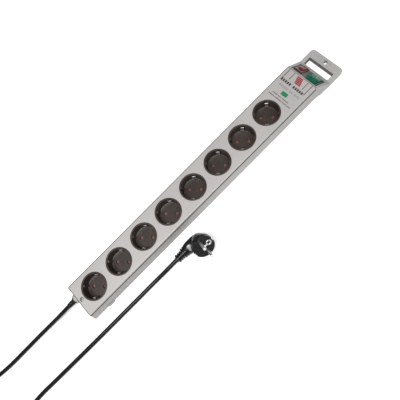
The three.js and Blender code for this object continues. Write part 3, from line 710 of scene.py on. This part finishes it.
def make_sockets():
    shape = insert_mesh()
    clip = clip_mesh()
    for i, x in enumerate(SOCKET_X):
        place = Matrix.Translation((x, 0, 0)) @ Matrix.Rotation(SOCKET_TURN, 4, "Z")
        insert = piece(f"socket_{i + 1}", shape.copy(), BLACK, place=place, smooth=35)
        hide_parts(f"socket_insert_{i + 1}")
        across = place @ Matrix.Rotation(math.pi / 2, 4, "Z")
        contact = make(f"earth_contact_{i + 1}", clip, NICKEL, place=across,
                       bevel=0.12)
        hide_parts(f"earth_clip_{i + 1}")


make_sockets()


# ---- slope: switch and lamp ----
SLOPE = Matrix.Translation((SLOPE_START, 0, TOP)) @ Matrix.Rotation(SLOPE_ANGLE, 4, "Y")


def bezel(s, y, length, width, top, well, well_floor):
    """A frame with a softened outer edge and a deep well. well is (s0, s1, y0, y1)."""
    s0, s1, y0, y1 = s - length / 2, s + length / 2, y - width / 2, y + width / 2
    loops = [rounded(s0, s1, y0, y1, 1.5, 0.3 - POCKET_DEPTH, 5)]
    for a in (0, 30, 60, 90):
        inset, drop = 0.7 * (1 - math.cos(math.radians(a))), 0.7 * (1 - math.sin(math.radians(a)))
        loops.append(rounded(s0 + inset, s1 - inset, y0 + inset, y1 - inset, 1.5 - inset, top - drop, 5))
    w0, w1, v0, v1 = well
    for grow, z in ((0.5, top), (0.15, top - 0.15), (0.0, top - 0.5), (0.0, well_floor)):
        loops.append(rounded(w0 - grow, w1 + grow, v0 - grow, v1 + grow, 0.8 + grow, z, 5))
    return loft(loops)


def on_crown(a, lift=0.0):
    """Height above the pivot of the rocker's hollow top, at a along it."""
    return 0.9 - PIVOT_DEPTH + 2.35 * (abs(a) / 11.7) ** 1.35 + lift


def rocker_marks():
    """A stroke at one end of the rocker and a ring at the other, sunk a little into its top."""
    sunk, proud, half, sides = -0.15, 0.08, 0.55, 32
    edges = ((-half, sunk), (half, sunk), (half, proud), (-half, proud))
    stroke = [[(a, y, on_crown(a, lift)) for y, lift in edges] for a in (5.0, 9.4)]
    ring = []
    for k in range(sides):
        t = 2 * math.pi * k / sides
        section = []
        for r, lift in ((1.7, sunk), (2.6, sunk), (2.6, proud), (1.7, proud)):
            a, y = -7.2 + r * math.cos(t), r * 0.95 * math.sin(t)
            section.append((a, y, on_crown(a, lift)))
        ring.append(section)
    return [loft(stroke), loft(ring, closed=True)]


def make_switch():
    well = (SWITCH_S - 12.8, SWITCH_S + 12.8, SWITCH_Y - 9.3, SWITCH_Y + 9.3)
    shape = bezel(SWITCH_S, SWITCH_Y, SWITCH_LENGTH, SWITCH_WIDTH, -0.4, well, -9.5)
    surround = make("switch_bezel", shape, GREEN_CASE, place=SLOPE)
    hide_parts("switch_body")
    pivot = SLOPE @ Matrix.Translation((SWITCH_S, SWITCH_Y, PIVOT_DEPTH))
    tilt = pivot @ Matrix.Rotation(ROCKER_TILT, 4, "Y")
    rise, crown_half, steps = -PIVOT_DEPTH, 11.7, 12
    crown = []
    for i in range(steps + 1):
        a = crown_half * (2 * i / steps - 1)
        crown.append((a, on_crown(a)))
    end = [(11.5, 0.9 + rise), (12.2, rise - 1.5), (12.0, rise - 5.0), (3.0, rise - 6.5)]
    outline = [(12.0, 2.8 + rise)] + end + [(-a, z) for a, z in reversed(end)] + [(-12.0, 2.8 + rise)] + crown
    paddle = make("rocker_paddle", prism_along_y(outline, -9.0, 9.0), GREEN_GLOW, body="rocker",
                  place=tilt, bevel=0.5)
    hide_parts("rocker")
    make("rocker_marks", rocker_marks(), MARK_WHITE, body="rocker", place=tilt)


def make_lamp():
    well = (LAMP_S - 5, LAMP_S + 9.6, LAMP_Y - 4.9, LAMP_Y + 4.9)
    shape = bezel(LAMP_S, LAMP_Y, LAMP_LENGTH, LAMP_WIDTH, -0.2, well, -5.9)
    surround = make("lamp_bezel", shape, RED_CASE, place=SLOPE)
    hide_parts("lamp_body")
    s0, s1, y0, y1 = LAMP_S - 4.7, LAMP_S + 9.3, LAMP_Y - 4.6, LAMP_Y + 4.6
    loops = [rounded(s0, s1, y0, y1, 0.8, z, 5) for z in (-5.6, 0.6)]
    for k in range(1, 7):
        a = math.radians(15 * k)
        inset, z = 1.3 * (1 - math.cos(a)), 0.6 + 1.3 * math.sin(a)
        loops.append(rounded(s0 + inset, s1 - inset, y0 + inset, y1 - inset, 0.8 + 0.5 * inset, z, 5))
    for inset, z in ((2.4, 2.05), (3.4, 2.12)):
        loops.append(rounded(s0 + inset, s1 - inset, y0 + inset, y1 - inset, 1.1, z, 5))
    lens = make("lamp_lens_dome", loft(loops), RED_GLOW, place=SLOPE)
    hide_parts("lamp_lens")


def make_slope_pocket_shade():
    """Painted shade: a thin darker sheet in the slope's pocket, round the switch and the lamp, where the
    pocket lies in shade.
    """
    edges = [(4.6, 42.4, -25.9, 25.9), (6.9, 37.1, -23.6, 0.1), (12.9, 40.1, 8.8, 23.4)]
    heights = (0.02 - POCKET_DEPTH, 0.25 - POCKET_DEPTH)
    low, high = ([rounded(*edge, 0.4, z, 3) for edge in edges] for z in heights)
    walls = [loft([under, over], (False, False)) for under, over in zip(low, high)]
    faces = [sheet_with_holes(loops[0], loops[1:]) for loops in (low, high)]
    make("slope_pocket_shade", weld(faces + walls), POCKET_SHADE, place=SLOPE)


make_switch()
make_lamp()
make_slope_pocket_shade()


# ---- screws and feet ----
def screw_shape(head_r, low, high, slot_deep):
    """A pan head with a cross recess, its axis on Z."""
    head = [(0, low), (head_r - 0.15, low), (head_r, low + 0.15), (head_r, high - 0.45)]
    head += arc(0.45, 0.45, head_r - 0.45, high - 0.45, 0, 90, 4)[1:] + [(0, high + 0.12)]
    screw = tool(lathe(head, 48))
    arms = [tool(block((-1.9, 1.9), (-0.35, 0.35), (high - slot_deep, high + 1), 0.1),
                 Matrix.Rotation(turn, 4, "Z")) for turn in (0.4, 0.4 + math.pi / 2)]
    carve(screw, arms)
    mesh = screw.data
    bpy.data.objects.remove(screw)
    return mesh


def make_fasteners():
    face = piece("face_screw_head", screw_shape(3.1, TOP - 1.5, TOP - 0.3, 0.8), ZINC,
                 place=Matrix.Translation((*FACE_SCREW, 0)))
    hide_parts("face_screw")
    under = screw_shape(3.0, -4.3, -2.9, 0.9)
    for i, (x, y) in enumerate(BASE_SCREWS):
        place = Matrix.Translation((x, y, 0)) @ Matrix.Rotation(math.pi, 4, "X")
        head = piece(f"base_screw_head_{i + 1}", under.copy(), ZINC, place=place)
        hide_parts(f"base_screw_{i + 1}")
    sole = [(0, 0.25), (3.6, 0.25), (4.0, 0.0), (5.4, 0.0)] + arc(0.5, 0.5, 5.5, 0.5, 270, 360, 4)[1:] \
        + [(6.0, 1.3), (0, 1.3)]
    for i, (x, y) in enumerate(FEET):
        foot = make(f"foot_pad_{i + 1}", lathe(sole, 48), RUBBER,
                    place=Matrix.Translation((x, y, 0)))
        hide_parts(f"foot_{i + 1}")


make_fasteners()


# ---- gland ----
def make_gland():
    """A tapered sleeve round the cord, with three grooves, and its flange against the housing."""
    rings = [(3.75, GLAND_TIP), (4.0, GLAND_TIP), (4.25, GLAND_TIP + 0.3)]
    for k in range(3):
        x = GLAND_TIP + 2.2 + 3.4 * k
        r = 4.3 + 0.15 * k
        rings += [(r, x), (r - 0.45, x + 0.35), (r - 0.45, x + 1.1), (r + 0.12, x + 1.45)]
    rings += [(4.8, -288.2), (4.9, -287.4), (6.3, -287.0), (6.6, -286.7), (6.6, -284.5), (GLAND_R, -284.4),
              (GLAND_R, -276.5), (3.75, -276.5)]
    sleeve = lathe(rings, 56, closed=True)
    along = Matrix(((0, 0, 1, 0), (1, 0, 0, GLAND_Y), (0, 1, 0, GLAND_Z), (0, 0, 0, 1)))
    gland = make("gland_sleeve", sleeve, VINYL, place=along)
    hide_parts("cord_gland")
    return gland


GLAND = make_gland()


# ---- strap round the coil ----
def strap_loop(skin, other, y, pull):
    """One skin of the strap at y, pulled towards the middle of its thickness."""
    return [(COIL_X + a + (c - a) / 2 * pull, COIL_Y + y, b + (d - b) / 2 * pull)
            for (a, b, _), (c, d, _) in zip(skin, other)]


def make_tie():
    near, far, low, high, thick = -52.6, -23.4, 1.0, 16.9, 0.9
    outer = rounded(near - thick, far + thick, low - thick, high + thick, 2.2)
    inner = rounded(near, far, low, high, 1.4)
    edges = [(-6.0, 0.25), (-5.8, 0.0), (5.8, 0.0), (6.0, 0.25)]
    loops = [strap_loop(outer, inner, y, pull) for y, pull in edges]
    loops += [strap_loop(inner, outer, y, pull) for y, pull in reversed(edges)]
    tie = make("coil_strap", loft(loops, closed=True), STRAP)
    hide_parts("cord_tie")
    return tie


TIE = make_tie()


# ---- plug ----
PLUG = Matrix.Identity(4)
plug_z = Vector((0, -math.sin(PLUG_TILT), math.cos(PLUG_TILT)))
plug_y = Vector((1, 0, 0))
plug_x = plug_y.cross(plug_z)
for row in range(3):
    PLUG[row][0], PLUG[row][1], PLUG[row][2] = plug_x[row], plug_y[row], plug_z[row]
PLUG.translation = PLUG_ORIGIN


def oval(a, b, y, z=0.0, power=2.4, sides=56, x=0.0):
    """A superellipse in the XZ plane at y."""
    loop = []
    for i in range(sides):
        t = 2 * math.pi * i / sides
        c, s = math.cos(t), math.sin(t)
        across, up = (math.copysign(abs(v) ** (2 / power), v) for v in (c, s))
        loop.append((x + a * across, y, z + b * up))
    return loop


NECK_SIDE = (PLUG_ORIGIN.y - PLUG_NECK_Y) * math.cos(PLUG_TILT)
NECK_BACK = (PLUG_ORIGIN.y - PLUG_NECK_Y) * math.sin(PLUG_TILT)
# Each rib of the strain relief: its radius, start and end, and the groove's radius after it.
RELIEF_RIBS = [(9.1, 26.2, 28.4, 6.9), (8.9, 29.9, 32.4, 5.2), (7.3, 34.1, 36.4, 4.9), (7.2, 38.1, 40.4, 4.9),
               (7.3, 42.1, 45.0, 4.1)]


def plug_blank():
    """The plug's head and neck, blended into each other."""
    head = [(0, -9.5), (3.5, -9.3), (6.3, -8.4), (8.7, -6.7), (10.8, -4.0), (12.2, -1.2), (13.3, 2.0),
            (14.3, 5.2), (15.2, 8.6), (16.2, 12.3), (17.4, 13.6), (18.2, 14.3), (18.4, 15.0),
            (18.4, PLUG_FACE - 0.9)]
    head += arc(0.9, 0.9, 17.5, PLUG_FACE - 0.9, 0, 90, 4)[1:] + [(0, PLUG_FACE)]
    blank = tool(lathe(head, 112))
    # Each section of the neck: half width, half height, y, roundness, share of its offset from the head.
    sections = ((10.2, 8.6, 4.0, 2.3, 0.4), (10.6, 9.4, -6.0, 2.3, 0.9), (10.4, 9.6, -14.0, 2.3, 1.0),
                (10.3, 9.8, -18.5, 2.2, 1.0), (9.8, 9.5, -22.5, 2.1, 1.0), (8.9, 8.9, -26.2, 2.0, 1.0))
    neck = [oval(a, b, y, NECK_BACK * share, power, x=NECK_SIDE * share)
            for a, b, y, power, share in sections]
    carve(blank, [tool(loft(neck))], "UNION")
    remesh = blank.modifiers.new("blend", "REMESH")
    remesh.mode, remesh.voxel_size = "VOXEL", 0.55 * MM
    smooth = blank.modifiers.new("smooth", "SMOOTH")
    smooth.factor, smooth.iterations = 0.5, 6
    return blank


def plug_cutters():
    """Tools for the flats, the keyways, the pin seats and the earth socket."""
    cutters = []
    low, high = 14.0, PLUG_FACE + 2
    seat = [(0, PLUG_FACE - 5), (PIN_R + 0.25, PLUG_FACE - 5), (PIN_R + 0.25, PLUG_FACE - 0.3),
            (PIN_R + 0.7, PLUG_FACE + 0.2), (0, PLUG_FACE + 0.2)]
    for end in (-1, 1):
        cutters.append(tool(block(sorted((end * 16.2, end * 21)), (-2.8, 2.8), (low, high), 0.4)))
        cutters.append(tool(block((-3.3, 3.3), sorted((end * 16.7, end * 21)), (low, high), 0.4)))
        cutters.append(tool(lathe(seat, 32), Matrix.Translation((end * PIN_SPACING / 2, 0, 0))))
    earth = lathe([(0, PLUG_FACE - 16), (3.2, PLUG_FACE - 16), (3.2, high), (0, high)], 40)
    return cutters + [tool(earth, Matrix.Translation((0, EARTH_HOLE_Y, 0)))]


def relief_shape():
    """The ribbed strain relief behind the neck."""
    profile = [(3.8, 24.0), (7.0, 24.0), (7.0, 26.2)]
    starts = [start for _, start, _, _ in RELIEF_RIBS[1:]]
    for k, (r, start, end, groove) in enumerate(RELIEF_RIBS):
        profile += [(r - 0.35, start), (r, start + 0.35), (r, end - 0.35), (r - 0.35, end)]
        profile.append((groove, end + 0.05))
        if k < len(starts):
            profile.append((groove, starts[k] - 0.05))
    return lathe(profile + [(4.1, 48.0), (3.8, 48.2)], 56, closed=True)


def plug_contacts():
    """The two pins, the two side strips, and the earth socket's sleeve with its leaf."""
    parts = []
    tip = PLUG_FACE + 17.0
    pin = [(0, PLUG_FACE - 4.6), (PIN_R, PLUG_FACE - 4.6), (PIN_R, tip)]
    pin += arc(1.9, 1.9, PIN_R - 1.9, tip, 0, 90, 6)[1:-1] + [(0, tip + 1.9)]
    for k, end in enumerate((-1, 1)):
        place = PLUG @ Matrix.Translation((end * PIN_SPACING / 2, 0, 0))
        prong = make(f"plug_prong_{k + 1}", lathe(pin, 40), NICKEL, place=place)
        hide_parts(f"plug_pin_{k + 1}")
        parts.append(prong)
    for end, node in ((1, "plug_earth_front"), (-1, "plug_earth_rear")):
        shape = block((-2.9, 2.9), sorted((end * 16.75, end * 18.35)), (14.4, PLUG_FACE + 0.1), 0.3, 0.25)
        strip = make(node + "_contact", shape, NICKEL, place=PLUG)
        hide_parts(node)
        parts.append(strip)
    sleeve = [(3.15, PLUG_FACE - 9), (3.15, PLUG_FACE + 0.3), (4.4, PLUG_FACE + 0.3), (4.6, PLUG_FACE + 0.1),
              (4.6, PLUG_FACE - 0.4), (2.8, PLUG_FACE - 0.4), (2.6, PLUG_FACE - 9)]
    parts.append(make("plug_earth_sleeve", lathe(sleeve, 48, closed=True), NICKEL,
                      place=PLUG @ Matrix.Translation((0, EARTH_HOLE_Y, 0))))
    leaf = block((-1.6, 1.6), (0.2, 6.5), (PLUG_FACE - 0.3, PLUG_FACE + 0.15), 0.6, 0.1)
    parts.append(make("plug_earth_leaf", leaf, NICKEL, place=PLUG))
    return parts


def make_plug():
    blank = plug_blank()
    carve(blank, plug_cutters())
    mesh = blank.data
    bpy.data.objects.remove(blank)
    shell = piece("plug_shell", mesh, PLUG_BLACK, place=PLUG, smooth=38)
    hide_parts("plug_body")
    back = Matrix.Translation((NECK_SIDE, 0, NECK_BACK)) @ Matrix.Rotation(math.pi / 2, 4, "X")
    relief = make("plug_strain_relief", relief_shape(), PLUG_BLACK,
                  place=PLUG @ back, smooth=30)
    # The pad's light grey is a painted highlight on the neck.
    pad = make("plug_pad_highlight", loft([pad_loop(k) for k in range(5)]), PLUG_PAD_HIGHLIGHT,
               place=PLUG, smooth=50)
    return [shell, relief, pad] + plug_contacts()


def pad_loop(k):
    """Loops of a raised pad on the neck's upper side, whose light grey is a painted highlight."""
    inset, z = ((0.0, 8.4), (0.0, 9.7), (0.35, 10.15), (0.9, 10.4), (2.2, 10.55))[k]
    round_neck = Matrix.Rotation(math.radians(-30), 4, "Y")
    loop = rounded(-5.4 + inset, 5.4 - inset, -21.0 + inset, -13.8 - inset, 2.6 - 0.7 * inset, z, 6)
    return [tuple(round_neck @ Vector(p) + Vector((NECK_SIDE, 0, NECK_BACK))) for p in loop]


PLUG_PARTS = make_plug()


# ---- CAD nodes that keep their own shape ----
def finish_node(name, material, width=None, angle=35):
    obj = NODES[name]
    for slot in obj.material_slots:
        slot.material = material
    if width:
        merge = obj.modifiers.new("merge_flat", "DECIMATE")
        merge.decimate_type, merge.angle_limit = "DISSOLVE", math.radians(1)
        soften(obj, width, angle)


finish_node("lower_housing", GREY, 0.45)
for name in ("live_busbar", "neutral_busbar", "earth_busbar"):
    finish_node(name, BRASS, 0.15)
for i in range(8):
    finish_node(f"shutter_{i + 1}", SHUTTER, 0.2)
for i in range(3):
    finish_node(f"varistor_{i + 1}", EPOXY, 0.8)
finish_node("surge_board", BOARD, 0.15)
finish_node("thermal_fuse", CERAMIC, 0.3)
finish_node("cord_clamp", CREAM, 0.4)
finish_node("live_lead", BROWN_WIRE)
finish_node("neutral_lead", BLUE_WIRE)


# ---- ribs on the handle ----
def make_grip():
    ribs = []
    for k in range(25):
        y = -26.4 + 2.2 * k
        if abs(y + 1) < 5.5:
            continue
        heights = (HANDLE_TOP - 0.2, HANDLE_TOP + 0.45)
        ribs.append(block((274.6, 284.6), (y - 0.45, y + 0.45), heights, 0.4, 0.2, 3))
    make("handle_ribs", ribs, GREY_RIB)


make_grip()


def make_window_wall_shade():
    """Painted shade: a thin dark sheet on the walls of the handle's window, darkening them as shade would."""
    loops = []
    for inset, z in ((0.0, 0.9), (0.0, 8.5), (0.2, 8.7), (0.4, 8.5), (0.4, 0.9), (0.2, 0.7)):
        loops.append(rounded(WINDOW_START + inset, WINDOW_END - inset, -WINDOW_Y + inset, WINDOW_Y - inset,
                             0.4, z, 3))
    make("window_wall_shade", loft(loops, closed=True), WINDOW_SHADE)


make_window_wall_shade()


# ---- floor and light ----
def make_stage():
    size = 3.0
    mesh = bpy.data.meshes.new("floor")
    corners = [(-size, -size, 0), (size, -size, 0), (size, size, 0), (-size, size, 0)]
    mesh.from_pydata(corners, [], [(0, 1, 2, 3)])
    mesh.materials.append(floor_paper())
    floor = bpy.data.objects.new("floor", mesh)
    floor.location.z = -0.0002
    bpy.context.scene.collection.objects.link(floor)


def add_light(name, place, target, size, power):
    data = bpy.data.lights.new(name, "AREA")
    data.shape, data.size, data.size_y, data.energy = "RECTANGLE", size[0], size[1], power
    light = bpy.data.objects.new(name, data)
    bpy.context.scene.collection.objects.link(light)
    light.location = place
    light.rotation_mode = "QUATERNION"
    light.rotation_quaternion = (Vector(target) - Vector(place)).to_track_quat("-Z", "Y")


def make_lights():
    world = bpy.data.worlds.new("studio")
    bpy.context.scene.world = world
    world.use_nodes = True
    back = world.node_tree.nodes["Background"]
    back.inputs["Color"].default_value = (1, 1, 1, 1)
    back.inputs["Strength"].default_value = 0.3
    add_light("key", (-0.22, -0.3, 1.6), (-0.08, 0, 0), (1.7, 0.5), 37)


make_stage()
make_lights()

bpy.context.scene.view_settings.view_transform = "Standard"
bpy.context.view_layer.update()
